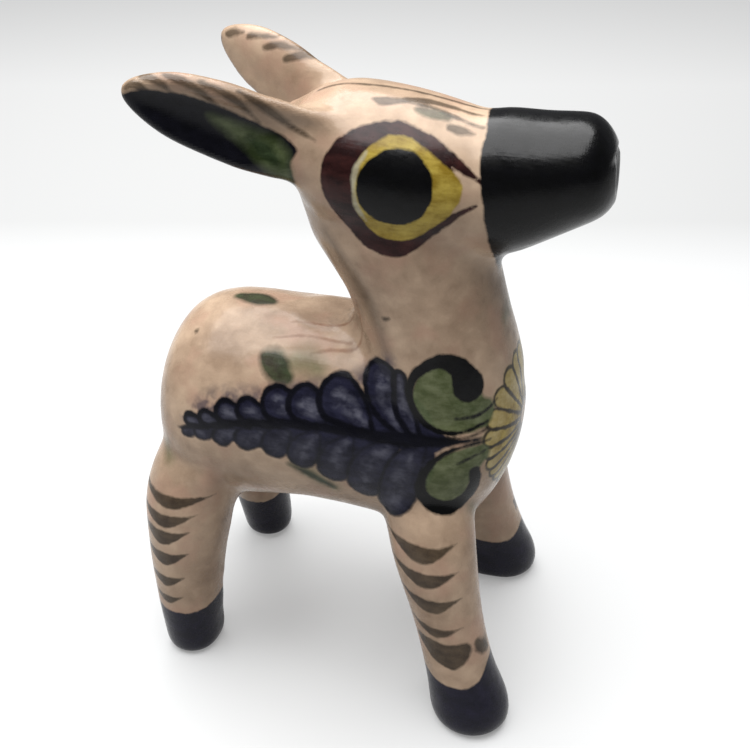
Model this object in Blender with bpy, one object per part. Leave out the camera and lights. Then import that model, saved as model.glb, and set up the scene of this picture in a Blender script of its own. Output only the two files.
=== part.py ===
"""Glazed pottery fawn, modelled as the separate clay members that a potter joins before firing.

Run with: blender --background --python part.py
Frame: +X towards the muzzle, +Y to the animal's left, +Z up, soles on Z = 0, metres.

The trunk is a hollow shell pressed in a two-part mould. The neck, head and muzzle are hollow and
open into each other, and the mouth vents them. Legs, hooves, ears and tail are solid clay.
Each member is set on its neighbour across a thin bed of slip, which is the gap JOINT_GAP here.
"""

import math

import bmesh
import bpy
from mathutils import Vector

# Driving dimensions, in millimetres
WALL = 4.5  # clay wall of the hollow members
JOINT_GAP = 0.3  # slip bed between two luted members
MIDDLE_SHIFT = -1.25  # moves the figure along X, so that the middle of its length is at the origin
HOOF_TOP = 12.5  # height of the joint between a leg and its hoof
NECK_HOLE = 9.0  # radius of the air passage from the trunk to the neck
MOUTH_VENT = 2.4  # radius of the vent hole at the muzzle's tip
EAR_SCOOP_OUT = 3.4  # how far outwards the line of an ear's scoop lies from the ear's own line
EAR_SCOOP_SHARE = 0.78  # size of the scoop against the ear
CLEAR = 200  # reach of the boxes that trim a member at a plane

# Each station is one cross-section of a member, set out by hand:
# centre x, y, z, pitch of the member's own line in degrees above +X, half height, half width.
TRUNK = (
    (-50.5, 0, 66, 0, 23.5, 21),
    (-41, 0, 67.5, 0, 26.5, 24.4),
    (-26, 0, 69, 0, 27, 25.5),
    (-8, 0, 69.8, 0, 25.2, 25),
    (10, 0, 68.2, 0, 24.8, 24.5),
    (27, 0, 68, 0, 27, 24),
    (42, 0, 74, 0, 25, 21.5),
)
NECK = (
    (25, 0, 70, 100, 17, 21),
    (22, 0, 84, 101, 19, 20.5),
    (19.5, 0, 97, 102, 17.8, 18.5),
    (15.9, 0, 109.5, 102, 17.9, 17.5),
    (10.8, 0, 121, 99, 20.7, 17.5),
    (8, 0, 131, 94, 21.5, 15.5),
)
HEAD = (
    (-14, 0, 136, 4, 13, 16),
    (-6, 0, 135, 4, 15.5, 18),
    (6, 0, 133.5, 5, 17, 19),
    (18, 0, 132.2, 7, 17, 18),
    (31, 0, 131.2, 9, 15.2, 14.6),
)
MUZZLE = (
    (31.4, 0, 131.2, 9, 15.6, 15),
    (36, 0, 132.6, 10, 15, 14.6),
    (44, 0, 135, 14, 12.6, 13.4),
    (51, 0, 137.2, 14, 10.9, 12),
    (56.5, 0, 138.8, 14, 9.8, 11),
)
TAIL = (
    (-47.5, 0, 79, -118, 2.6, 3.4),
    (-50.4, 0, 71, -104, 3, 3.8),
    (-51.4, 0, 62, -94, 3, 4),
    (-51.8, 0, 53, -88, 2.6, 3.4),
    (-51.4, 0, 46, -84, 1.6, 2.2),
)
# Ears and legs are given for the animal's right side
EAR = (
    (0, -11, 139, 163, 8, 5.5),
    (-10, -15.2, 141.5, 163, 9, 4.8),
    (-20, -18.6, 145, 164, 8.5, 4.3),
    (-30, -21.6, 148.8, 165, 7.2, 3.9),
    (-40.5, -24.2, 152.3, 166, 4.6, 3.3),
)
FRONT_LEG = (
    (20, -13, 67, -80, 12.5, 12),
    (23.5, -18.5, 53, -76, 11.5, 10.5),
    (27.5, -22.5, 40, -73, 9.8, 9.4),
    (31.2, -25, 27, -73, 8.7, 8.7),
    (35.2, -27.4, 14, -75, 8.8, 8.7),
    (38.2, -28.6, 5, -80, 10, 9.6),
    (39.2, -29, -2.5, -88, 9.6, 9.2),
)
REAR_LEG = (
    (-36, -12, 69, -92, 13.5, 12),
    (-39.4, -17.5, 51, -92, 12.2, 11),
    (-40.4, -21, 37, -91, 10.4, 9.8),
    (-40.8, -23, 25, -90, 9.2, 8.7),
    (-40.6, -24.3, 14, -90, 8.2, 8),
    (-40.2, -25, 5, -88, 7.6, 7.5),
    (-40, -25.2, -2.5, -88, 7.2, 7.1),
)
SIDES = {"right": 1, "left": -1}  # factor on Y
# The figure is pinched out by hand, so it isn't quite square. STANCE is how far along X a foot is
# from the place that the stations give, and its leg leans to it evenly from the hip. EAR_DROP is
# how far an ear's root lies below the place that the stations give.
STANCE = {"front_right": -0.3, "front_left": -1.8, "rear_right": 0.0, "rear_left": 2.8}
EAR_DROP = {"right": 0.0, "left": 2.5}

# Shares of a member's length over which its ends round off
TRUNK_ENDS = {"round_start": 0.28, "round_end": 0.22}
HEAD_ENDS = {"round_start": 0.45}
MUZZLE_ENDS = {"round_end": 0.3}
EAR_ENDS = {"round_end": 0.3}
SCOOP_ENDS = {"round_end": 0.4}
LEG_ENDS = {"round_start": 0.3, "round_end": 0.08}
TAIL_ENDS = {"round_start": 0.2, "round_end": 0.3}
ROUNDNESS = 2.2  # power of the rounded ends: 2 is an ellipse, more is blunter
POINTED = 0.04  # a ring smaller than this share of its section becomes a single point

MM = 0.001


# ---------- stations ----------


def between(stations, t):
    """The section at t, from 0 at the first station to 1 at the last, on a smooth curve through all."""
    place = t * (len(stations) - 1)
    i = min(int(place), len(stations) - 2)
    f = place - i
    before = max(i - 1, 0)
    after = min(i + 2, len(stations) - 1)
    section = []
    for a, b, c, d in zip(stations[before], stations[i], stations[i + 1], stations[after]):
        slope_b = (c - a) / (i + 1 - before)
        slope_c = (d - b) / (after - i)
        at_b = b * (2 * f**3 - 3 * f**2 + 1) + slope_b * (f**3 - 2 * f**2 + f)
        at_c = c * (3 * f**2 - 2 * f**3) + slope_c * (f**3 - f**2)
        section.append(at_b + at_c)
    return section


def resized(stations, change, start_run=0.0, end_run=0.0):
    """The member with each section larger by change, its ends run out by start_run and end_run."""
    made = [[x, y, z, pitch, high + change, wide + change] for x, y, z, pitch, high, wide in stations]
    for station, run in ((made[0], -start_run), (made[-1], end_run)):
        station[0] += math.cos(math.radians(station[3])) * run
        station[2] += math.sin(math.radians(station[3])) * run
    return made


def dropped(stations, drop):
    """The member with its root lower by drop, and the rest of it in proportion up to its tip."""
    root, tip = stations[0][0], stations[-1][0]
    return [(x, y, z - drop * (tip - x) / (tip - root), *rest) for x, y, z, *rest in stations]


def leaning(stations, shift):
    """The leg with its foot shifted along X, and the rest of it in proportion up to its hip."""
    hip, sole = stations[0][2], stations[-1][2]
    return [(x + shift * (hip - z) / (hip - sole), y, z, *rest) for x, y, z, *rest in stations]


# ---------- meshes ----------


def end_scale(t, round_start, round_end):
    """How much of its full size a section at t keeps, where the member's ends round off."""
    share = 0.0
    if t < round_start:
        share = 1 - t / round_start
    elif t > 1 - round_end:
        share = 1 - (1 - t) / round_end
    return max(1 - share**ROUNDNESS, 0.0) ** (1 / ROUNDNESS)


def ring_place(i, rings, round_start, round_end):
    """Where ring i lies along the member. Rings are closer together where an end rounds off."""
    t = i / rings
    if round_start and round_end:
        return (1 - math.cos(math.pi * t)) / 2
    if round_end:
        return math.sin(math.pi * t / 2)
    if round_start:
        return 1 - math.cos(math.pi * t / 2)
    return t


def ring_points(section, scale, segments):
    """The points of one elliptical section, in metres, square to the member's own line."""
    x, y, z, pitch, half_height, half_width = section
    centre = Vector((x, y, z))
    if scale < POINTED:
        return [centre * MM]
    along = math.radians(pitch)
    up = Vector((-math.sin(along), 0, math.cos(along))) * half_height * scale
    sideways = Vector((0, half_width * scale, 0))
    turns = [2 * math.pi * k / segments for k in range(segments)]
    return [(centre + up * math.cos(turn) + sideways * math.sin(turn)) * MM for turn in turns]


def member_mesh(name, stations, rings, segments, round_start=0.0, round_end=0.0, side=1):
    """A closed loft through the stations, mirrored to the left where side is -1."""
    bm = bmesh.new()
    loops = []
    for i in range(rings + 1):
        t = ring_place(i, rings, round_start, round_end)
        points = ring_points(between(stations, t), end_scale(t, round_start, round_end), segments)
        loops.append([bm.verts.new((p.x, p.y * side, p.z)) for p in points])
    for a, b in zip(loops, loops[1:]):
        for k in range(segments):
            n = k + 1
            corners = [a[k % len(a)], a[n % len(a)], b[n % len(b)], b[k % len(b)]]
            bm.faces.new(list(dict.fromkeys(corners)))
    for loop in (loops[0], loops[-1]):
        if len(loop) > 1:
            bm.faces.new(loop)
    bmesh.ops.recalc_face_normals(bm, faces=bm.faces)
    return finished(bm, name)


def box_mesh(name, corner, opposite):
    bm = bmesh.new()
    bmesh.ops.create_cube(bm, size=1)
    size = [abs(b - a) for a, b in zip(corner, opposite)]
    middle = (Vector(corner) + Vector(opposite)) / 2
    for vertex in bm.verts:
        vertex.co = (Vector(a * b for a, b in zip(vertex.co, size)) + middle) * MM
    return finished(bm, name)


def rod_mesh(name, start, end, radius, segments=20):
    """A straight round rod between two points, for an air passage."""
    axis = Vector(end) - Vector(start)
    size = {"radius1": radius * MM, "radius2": radius * MM, "depth": axis.length * MM}
    turn = Vector((0, 0, 1)).rotation_difference(axis).to_matrix()
    middle = (Vector(start) + Vector(end)) / 2 * MM
    bm = bmesh.new()
    bmesh.ops.create_cone(bm, cap_ends=True, segments=segments, **size)
    for vertex in bm.verts:
        vertex.co = turn @ vertex.co + middle
    return finished(bm, name)


def finished(bm, name):
    mesh = bpy.data.meshes.new(name)
    bm.to_mesh(mesh)
    bm.free()
    return mesh


# ---------- objects ----------


def new_collection(name):
    made = bpy.data.collections.new(name)
    bpy.context.scene.collection.children.link(made)
    return made


def new_material(name, colour, roughness):
    made = bpy.data.materials.new(name)
    made.use_nodes = True
    shader = made.node_tree.nodes["Principled BSDF"]
    shader.inputs["Base Color"].default_value = (*colour, 1)
    shader.inputs["Roughness"].default_value = roughness
    shader.inputs["Metallic"].default_value = 0.0
    return made


def place(mesh, collection):
    made = bpy.data.objects.new(mesh.name, mesh)
    made.location.x = MIDDLE_SHIFT * MM
    collection.objects.link(made)
    return made


def cutter(mesh):
    made = place(mesh, cutters)
    made.hide_render = True
    made.display_type = "WIRE"
    return made


def member(mesh, material, *cut_by):
    """One clay member, with the solids in cut_by taken out of it."""
    mesh.materials.append(material)
    mesh.shade_smooth()
    mesh.set_sharp_from_angle(angle=math.radians(45))
    made = place(mesh, figure)
    for tool in cut_by:
        modifier = made.modifiers.new("cut_by_" + tool.name, "BOOLEAN")
        modifier.operation = "DIFFERENCE"
        modifier.object = tool
    return made


# ---------- the members ----------


def make_trunk(hollow):
    """Two pressed half shells that meet at the animal's mid-plane, with a hole under the neck."""
    neck_hole = cutter(rod_mesh("neck_hole", (22, 0, 70), (20, 0, 110), NECK_HOLE))
    for name, side in SIDES.items():
        far_side = (-CLEAR, -side * JOINT_GAP / 2, -CLEAR), (CLEAR, side * CLEAR, CLEAR)
        beyond = cutter(box_mesh("beyond_" + name, *far_side))
        half = member_mesh(f"trunk_{name}_half", TRUNK, 20, 32, **TRUNK_ENDS)
        member(half, clay, hollow, neck_hole, beyond)


def make_neck(trunk_outside):
    passage = cutter(member_mesh("neck_passage", resized(NECK, -WALL, 1, 1), 8, 24))
    member(member_mesh("neck", NECK, 10, 28), clay, passage, trunk_outside)


def make_head(neck_outside):
    hollow = cutter(member_mesh("head_hollow", resized(HEAD, -WALL, -WALL, 1), 10, 24, **HEAD_ENDS))
    member(member_mesh("head", HEAD, 14, 32, **HEAD_ENDS), clay, neck_outside, hollow)


def make_muzzle():
    hollow = cutter(member_mesh("muzzle_hollow", resized(MUZZLE[:4], -WALL, 1, 0), 8, 20))
    vent = cutter(rod_mesh("mouth_vent", (46, 0, 135.6), (62, 0, 140.4), MOUTH_VENT, 16))
    member(member_mesh("muzzle", MUZZLE, 14, 32, **MUZZLE_ENDS), black, hollow, vent)


def make_ears(head_outside):
    """Two leaf-shaped ears, each scooped out on its outward face."""
    share = EAR_SCOOP_SHARE
    for name, side in SIDES.items():
        line = dropped(EAR, EAR_DROP[name])
        scooped = [
            (x, y - EAR_SCOOP_OUT, z, pitch, high * share, wide * share)
            for x, y, z, pitch, high, wide in line
        ]
        scoop = cutter(member_mesh(name + "_scoop", scooped, 12, 20, side=side, **SCOOP_ENDS))
        ear = member_mesh(name + "_ear", line, 14, 24, side=side, **EAR_ENDS)
        member(ear, clay, head_outside, scoop)


def make_legs(trunk_outside):
    """Four legs, each cut off where its hoof starts, and four hooves with flat soles."""
    leg_end = HOOF_TOP + JOINT_GAP / 2
    hoof_end = HOOF_TOP - JOINT_GAP / 2
    below = cutter(box_mesh("below_leg", (-CLEAR, -CLEAR, -CLEAR), (CLEAR, CLEAR, leg_end)))
    above = cutter(box_mesh("above_hoof", (-CLEAR, -CLEAR, hoof_end), (CLEAR, CLEAR, CLEAR)))
    ground = cutter(box_mesh("ground", (-CLEAR, -CLEAR, -CLEAR), (CLEAR, CLEAR, 0)))
    for end, stations in (("front", FRONT_LEG), ("rear", REAR_LEG)):
        for name, side in SIDES.items():
            corner = f"{end}_{name}"
            line = leaning(stations, STANCE[corner])
            leg = member_mesh(corner + "_leg", line, 22, 24, side=side, **LEG_ENDS)
            member(leg, clay, trunk_outside, below)
            hoof = member_mesh(corner + "_hoof", line, 22, 24, side=side, **LEG_ENDS)
            member(hoof, cobalt, above, ground)


def make_tail(trunk_outside):
    member(member_mesh("tail", TAIL, 14, 16, **TAIL_ENDS), clay, trunk_outside)


def make_figure():
    """The members, cut by their neighbours' outsides grown by the slip bed, or by their own hollows."""
    gap = JOINT_GAP
    outside = resized(TRUNK, gap, gap, gap)
    trunk_outside = cutter(member_mesh("trunk_outside", outside, 20, 32, **TRUNK_ENDS))
    inside = resized(TRUNK, -WALL, -WALL, -WALL)
    trunk_hollow = cutter(member_mesh("trunk_hollow", inside, 16, 28, **TRUNK_ENDS))
    neck_outside = cutter(member_mesh("neck_outside", resized(NECK, gap, 0, gap), 10, 28))
    outside = resized(HEAD, gap, gap, 0)
    head_outside = cutter(member_mesh("head_outside", outside, 14, 32, **HEAD_ENDS))
    make_trunk(trunk_hollow)
    make_neck(trunk_outside)
    make_head(neck_outside)
    make_muzzle()
    make_ears(head_outside)
    make_legs(trunk_outside)
    make_tail(trunk_outside)


for old in list(bpy.data.objects):
    bpy.data.objects.remove(old)
figure = new_collection("pottery_fawn")
cutters = new_collection("cutters")
clay = new_material("clay", (0.52, 0.39, 0.29), 0.3)
black = new_material("black_glaze", (0.012, 0.012, 0.014), 0.2)
cobalt = new_material("cobalt_glaze", (0.02, 0.018, 0.045), 0.25)
make_figure()
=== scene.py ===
"""Looks of the glazed pottery fawn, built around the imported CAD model.

The CAD members are fused into one body of clay on a grid of distances, smoothed as wet fingers smooth
it, and divided again at the joints. Brush strokes are distances too: each vertex holds how far it is
from the edge of each kind of paint, and the glaze's material lays its colours by those distances.
Lengths are in millimetres, and places are in the CAD frame.
"""

import math

import bpy
import numpy as np
import openvdb
from mathutils import Matrix, Vector


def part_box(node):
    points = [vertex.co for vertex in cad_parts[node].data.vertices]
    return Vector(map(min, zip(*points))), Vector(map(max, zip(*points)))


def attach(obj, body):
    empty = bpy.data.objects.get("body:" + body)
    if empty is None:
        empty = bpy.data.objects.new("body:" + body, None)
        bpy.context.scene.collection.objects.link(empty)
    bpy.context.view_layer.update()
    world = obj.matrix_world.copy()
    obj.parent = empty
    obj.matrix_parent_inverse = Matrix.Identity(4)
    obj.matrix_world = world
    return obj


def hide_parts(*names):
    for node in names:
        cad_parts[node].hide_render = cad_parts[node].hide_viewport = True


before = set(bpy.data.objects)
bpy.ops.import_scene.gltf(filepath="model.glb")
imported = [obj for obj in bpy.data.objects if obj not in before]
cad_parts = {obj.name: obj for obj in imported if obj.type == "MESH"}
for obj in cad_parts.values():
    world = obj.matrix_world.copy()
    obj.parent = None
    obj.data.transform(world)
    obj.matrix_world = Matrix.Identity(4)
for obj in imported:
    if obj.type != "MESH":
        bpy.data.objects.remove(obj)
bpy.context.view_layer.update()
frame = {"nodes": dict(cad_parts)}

MM = 0.001

# Clay body
VOXEL = 0.5  # spacing of the distance grid
MARGIN = 10  # grid cells kept free around the figure
BAND = 10  # cells on each side of the surface whose distance is worked out
SLIP = 0.25  # half of the widest slip gap that is closed
BODY_SMOOTHING = 1.6  # how far wet fingers smooth the body
FINE_SMOOTHING = 0.7  # the same at the ears and the muzzle's tip
ROOT_SMOOTHING = 3.0  # the same where members are luted on
EARS_BEHIND = (14, 22)  # distances behind the origin between which the ears' fine smoothing sets in
EARS_ABOVE = (124, 130)  # heights between which it sets in
TIP_AHEAD = (44, 50)  # X between which the muzzle's fine smoothing sets in
LUTED_CORE = 0.4  # share of a luted place's reach that is smoothed in full
LUMPS = 0.16  # height of the unevenness that hands leave
LUMPS_ABOVE = (1, 6)  # heights between which it sets in, so that the soles stay flat
MOUTH = ((54.6, -12, 140.2), (55.3, 0, 140.4), (54.6, 12, 140.2))  # line of the mouth's groove
MOUTH_RADIUS = 1.0
MOUTH_EDGE = 0.8  # rounding of the groove's edge
MUZZLE_DISH = (66.2, 0, 137.5)  # centre of the ball that dishes the muzzle's end
DISH_RADIUS = 12.4
DISH_EDGE = 1.0
VENT = ((50, 0, 139), (60, 0, 140.6))  # line of the vent hole
VENT_RADIUS = 1.5
VENT_EDGE = 0.5
# Clay smoothed in between the ears: start, end and radius of each roll
CROWN = (
    ((-9, -10, 142.5), (-9, 10, 141.5), 4.6),
    ((-4, 0, 141), (-13, 0, 141.5), 5),
)
# Places where one member was luted on another: centre, with y on both sides, and reach
LUTED = (
    ((22, 16, 48), 15),
    ((-40, 15, 47), 15),
    ((-3, 0, 95), 15),
    ((31, 0, 116), 9),
    ((-7, 14, 138), 9),
    ((-12, 0, 124), 11),
    ((-10, 6, 145), 11),
)

# Paint
FAR = 3.0  # distances from paint are kept up to this
CHEST_TURN = 18  # X where the side's paint starts to turn round the chest
CHEST_RADIUS = 22  # radius at which it turns
MID_CHEST = CHEST_TURN + CHEST_RADIUS * math.pi / 2  # where it meets the other side's


# ---------- clay body ----------


def grid_around(nodes):
    """The grid's first cell and its number of cells along each axis."""
    low = np.min([np.array(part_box(name)[0]) for name in nodes], axis=0) / MM
    high = np.max([np.array(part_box(name)[1]) for name in nodes], axis=0) / MM
    first = np.floor(low / VOXEL).astype(int) - MARGIN
    last = np.ceil(high / VOXEL).astype(int) + MARGIN
    return first, last - first + 1


GRID_FIRST, GRID_CELLS = grid_around(frame["nodes"])
GRID_CORNER = tuple(int(i) for i in GRID_FIRST)
GRID_STEP = openvdb.createLinearTransform(voxelSize=VOXEL)


def distances(points, triangles, quads, band):
    """Signed distance to a closed mesh over the grid, negative inside it."""
    level = openvdb.FloatGrid.createLevelSetFromPolygons(
        points, triangles=triangles, quads=quads, transform=GRID_STEP, halfWidth=band
    )
    field = np.empty(GRID_CELLS, np.float32)
    level.copyToArray(field, ijk=GRID_CORNER)
    return field


def node_distances(name):
    """Signed distance to a CAD node."""
    mesh = frame["nodes"][name].data
    mesh.calc_loop_triangles()
    points = np.empty(len(mesh.vertices) * 3, np.float32)
    mesh.vertices.foreach_get("co", points)
    triangles = np.empty(len(mesh.loop_triangles) * 3, np.int32)
    mesh.loop_triangles.foreach_get("vertices", triangles)
    triangles = triangles.reshape(-1, 3).astype(np.uint32)
    return distances(points.reshape(-1, 3) / MM, triangles, np.zeros((0, 4), np.uint32), 4)


def surface_of(field, level):
    """The mesh of the surface where the field equals level: points and quads."""
    grid = openvdb.FloatGrid(float(field.max()))
    grid.copyFromArray(field, ijk=GRID_CORNER)
    grid.transform = GRID_STEP
    points, triangles, quads = grid.convertToPolygons(isovalue=level, adaptivity=0.0)
    return points, quads


def enclosed(solid):
    """Cells with solid clay in at least five of the six directions along the axes."""
    walls = np.zeros(solid.shape, np.int8)
    for axis in range(3):
        walls += np.logical_or.accumulate(solid, axis=axis)
        walls += np.flip(np.logical_or.accumulate(np.flip(solid, axis), axis=axis), axis)
    return walls >= 5


def blurred(field, sigma):
    """The field smoothed with a Gaussian of width sigma."""
    reach = math.ceil(3 * sigma / VOXEL)
    offsets = np.arange(-reach, reach + 1)
    weights = np.exp(-0.5 * (offsets * VOXEL / sigma) ** 2)
    weights = (weights / weights.sum()).astype(np.float32)
    for axis in range(3):
        margins = [(reach, reach) if a == axis else (0, 0) for a in range(3)]
        padded = np.pad(field, margins, mode="edge")
        field = np.zeros_like(field)
        for offset, weight in zip(offsets + reach, weights):
            part = [slice(None)] * 3
            part[axis] = slice(offset, offset + field.shape[axis])
            field += weight * padded[tuple(part)]
    return field


def ramp(value, start, end):
    """0 where value is below start, 1 above end, and a smooth rise between them."""
    t = np.clip((value - start) / (end - start), 0, 1)
    return t * t * (3 - 2 * t)


def lumps(x, y, z):
    """Gentle unevenness of a hand-made surface, from about -1 to 1."""
    broad = np.sin(x / 7.3 + 1.2) * np.sin(y / 6.1 + z / 9.7) + np.sin(z / 8.2 + y / 11.3 + 0.7)
    close = np.sin(x / 3.4 + z / 4.1) * np.sin(y / 3.9 - z / 5.3 + 2.1)
    return 0.45 * broad + 0.25 * close


def rod(x, y, z, start, end, radius):
    """Signed distance to a rod with round ends."""
    start, along = np.array(start, float), np.subtract(end, start)
    share = (x - start[0]) * along[0] + (y - start[1]) * along[1] + (z - start[2]) * along[2]
    share = np.clip(share / (along @ along), 0, 1)
    ahead = [p - s - a * share for p, s, a in zip((x, y, z), start, along)]
    return np.sqrt(ahead[0] ** 2 + ahead[1] ** 2 + ahead[2] ** 2) - radius


def cut(field, hollow, softness):
    """The field with a hollow cut out of it, its edge rounded over softness."""
    overlap = np.clip(softness - np.abs(field + hollow), 0, None)
    return np.maximum(field, -hollow) + overlap**2 / (4 * softness)


def cell_places():
    """X, Y and Z of the grid's cells, each along its own axis."""
    return [
        ((first + np.arange(cells)) * VOXEL).reshape([-1 if a == axis else 1 for a in range(3)])
        for axis, (first, cells) in enumerate(zip(GRID_FIRST, GRID_CELLS))
    ]


def joined_members(x, y, z):
    """Signed distance to the CAD members and the crown, their gaps closed and their hollows filled."""
    clay = None
    for name in sorted(frame["nodes"]):
        member = node_distances(name)
        clay = member if clay is None else np.minimum(clay, member)
    for start, end, radius in CROWN:
        clay = np.minimum(clay, rod(x, y, z, start, end, radius).astype(np.float32))
    solid = clay < SLIP
    clay[enclosed(solid) & ~solid] = -BAND * VOXEL
    points, quads = surface_of(clay, SLIP)
    return distances(points, np.zeros((0, 3), np.uint32), quads, BAND) + SLIP


def smoothed(rough, x, y, z):
    """The clay as fingers leave it: finer at the ears and the muzzle's tip, softer where it is luted."""
    clay = blurred(rough, BODY_SMOOTHING)
    ears = ramp(-x, *EARS_BEHIND) * ramp(z, *EARS_ABOVE)
    fine = np.maximum(ears, ramp(x, *TIP_AHEAD)).astype(np.float32)
    clay += fine * (blurred(rough, FINE_SMOOTHING) - clay)
    luted = np.float32(0)
    for (spot_x, spot_y, spot_z), reach in LUTED:
        away = np.sqrt((x - spot_x) ** 2 + (np.abs(y) - spot_y) ** 2 + (z - spot_z) ** 2)
        luted = np.maximum(luted, ramp(-away, -reach, -LUTED_CORE * reach).astype(np.float32))
    clay += luted * (blurred(rough, ROOT_SMOOTHING) - clay)
    return clay + (LUMPS * lumps(x, y, z) * ramp(z, *LUMPS_ABOVE)).astype(np.float32)


def carved(clay, x, y, z):
    """The clay with the mouth's groove, the dished end of the muzzle and the vent cut into it."""
    for start, end in zip(MOUTH, MOUTH[1:]):
        clay = cut(clay, rod(x, y, z, start, end, MOUTH_RADIUS).astype(np.float32), MOUTH_EDGE)
    dish_x, dish_y, dish_z = MUZZLE_DISH
    dish = np.sqrt((x - dish_x) ** 2 + (y - dish_y) ** 2 + (z - dish_z) ** 2) - DISH_RADIUS
    clay = cut(clay, dish.astype(np.float32), DISH_EDGE)
    return cut(clay, rod(x, y, z, *VENT, VENT_RADIUS).astype(np.float32), VENT_EDGE)


def clay_body():
    """Signed distance to the whole figure in solid clay, with its members grown together."""
    places = cell_places()
    return carved(smoothed(joined_members(*places), *places), *places)


def sampled(field, points):
    """The field's values at points, by trilinear interpolation."""
    place = points / VOXEL - GRID_FIRST
    cell = np.clip(np.floor(place).astype(int), 0, GRID_CELLS - 2)
    share = place - cell
    total = np.zeros(len(points))
    for corner in np.ndindex(2, 2, 2):
        weight = np.prod(np.where(corner, share, 1 - share), axis=1)
        total += weight * field[tuple((cell + corner).T)]
    return total


def slopes(field, points):
    """Unit normals of the field's surface at points."""
    steps = np.eye(3) * VOXEL
    rise = np.stack([sampled(field, points + s) - sampled(field, points - s) for s in steps], axis=1)
    return rise / np.maximum(np.linalg.norm(rise, axis=1, keepdims=True), 1e-9)


# ---------- brush strokes ----------
# A place is an array of points on the surface, flattened to two coordinates.

STREAK_WIDTH = 0.42  # width of a petal's light streak, as a share of the petal's
STREAK_GAP = 0.6  # distance that it keeps from the petal that covers its own


def smooth_line(points, closed=False, spans=5):
    """A smooth curve through points, with spans steps from each to the next."""
    points = np.array(points, float)
    if closed:
        before, ends, after = np.roll(points, 1, 0), np.roll(points, -1, 0), np.roll(points, -2, 0)
        starts = points
    else:
        padded = np.vstack([2 * points[0] - points[1], points, 2 * points[-1] - points[-2]])
        before, starts, ends, after = padded[:-3], padded[1:-2], padded[2:-1], padded[3:]
    made = []
    for a, b, c, d in zip(before, starts, ends, after):
        for t in np.arange(spans) / spans:
            bend = (2 * a - 5 * b + 4 * c - d) * t**2 + (3 * b - a - 3 * c + d) * t**3
            made.append(b + ((c - a) * t + bend) / 2)
    if not closed:
        made.append(points[-1])
    return np.array(made)


def near(place, points, reach):
    """Which points of the place are within reach of the box round a line."""
    low, high = points[:, :2].min(0) - reach, points[:, :2].max(0) + reach
    return np.all((place > low) & (place < high), axis=1)


def stroke(place, points):
    """Signed distance to a brush stroke through points (u, v, half width)."""
    line = smooth_line(points)
    line[:, 2] = np.maximum(line[:, 2], 0.05)
    found = np.full(len(place), FAR)
    close = near(place, line, FAR + line[:, 2].max())
    part = place[close]
    best = np.full(len(part), FAR)
    for (u, v, r), (u2, v2, r2) in zip(line, line[1:]):
        along = np.array((u2 - u, v2 - v))
        share = np.clip(((part - (u, v)) @ along) / max(along @ along, 1e-9), 0, 1)
        away = np.hypot(part[:, 0] - u - along[0] * share, part[:, 1] - v - along[1] * share)
        best = np.minimum(best, away - r - (r2 - r) * share)
    found[close] = best
    return found


def patch(place, points):
    """Signed distance to a patch whose outline is a smooth closed curve through points (u, v)."""
    line = smooth_line(points, closed=True)
    found = np.full(len(place), FAR)
    close = near(place, line, FAR)
    part = place[close]
    best = np.full(len(part), 9.0)
    inside = np.zeros(len(part), bool)
    for (u, v), (u2, v2) in zip(line, np.roll(line, -1, 0)):
        along = np.array((u2 - u, v2 - v))
        share = np.clip(((part - (u, v)) @ along) / max(along @ along, 1e-9), 0, 1)
        away = np.hypot(part[:, 0] - u - along[0] * share, part[:, 1] - v - along[1] * share)
        best = np.minimum(best, away)
        crossed = (v > part[:, 1]) != (v2 > part[:, 1])
        inside ^= crossed & (part[:, 0] < u + (part[:, 1] - v) * along[0] / (along[1] or 1e-9))
    found[close] = np.where(inside, -best, best)
    return found


def strokes(place, several):
    """Signed distance to the nearest of several strokes."""
    return np.min([stroke(place, points) for points in several], axis=0)


def petals(place, several):
    """Petals that overlap like tiles, the first on top.

    Returns the distances to the even and the odd ones, each less what covers it, and to the light
    streaks down their middles.
    """
    turns = [np.full(len(place), FAR), np.full(len(place), FAR)]
    light = np.full(len(place), FAR)
    cover = np.full(len(place), FAR)
    for i, points in enumerate(several):
        petal = stroke(place, points)
        turns[i % 2] = np.minimum(turns[i % 2], np.maximum(petal, -cover))
        middle = stroke(place, [(u, v, STREAK_WIDTH * r) for u, v, r in points])
        light = np.minimum(light, np.maximum(middle, STREAK_GAP - cover))
        cover = np.minimum(cover, petal)
    return turns[0], turns[1], light


# ---------- where the paint is ----------
# The right side is painted as listed here, and the left side is its mirror image.

# Side of the trunk and chest, (along the side and round the chest, z)
UPPER_PETALS = (
    ((19, 79, 1), (16, 84, 2.2), (14.4, 91.4, 1.4)),
    ((16, 79, 1), (11.8, 84.6, 3.6), (10.2, 89.2, 4.1)),
    ((8.5, 78.3, 0.8), (3.4, 82.6, 3.9), (0.9, 84, 4.9)),
    ((1, 77.8, 0.7), (-4.4, 80.8, 3), (-7.2, 82, 3.8)),
    ((-6, 77.4, 0.6), (-10.4, 80.4, 2.9), (-13.6, 81.4, 3.7)),
    ((-13, 76.7, 0.5), (-17.4, 78, 2), (-20.6, 79.1, 2.7)),
    ((-20, 75.8, 0.5), (-23.3, 77.3, 2), (-26, 77.9, 2.6)),
    ((-26, 74.6, 0.4), (-29.3, 75.2, 1.4), (-31.2, 75.6, 1.7)),
    ((-31, 73.4, 0.4), (-33.8, 74.1, 1.3), (-35.4, 74.2, 1.5)),
)
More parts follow.
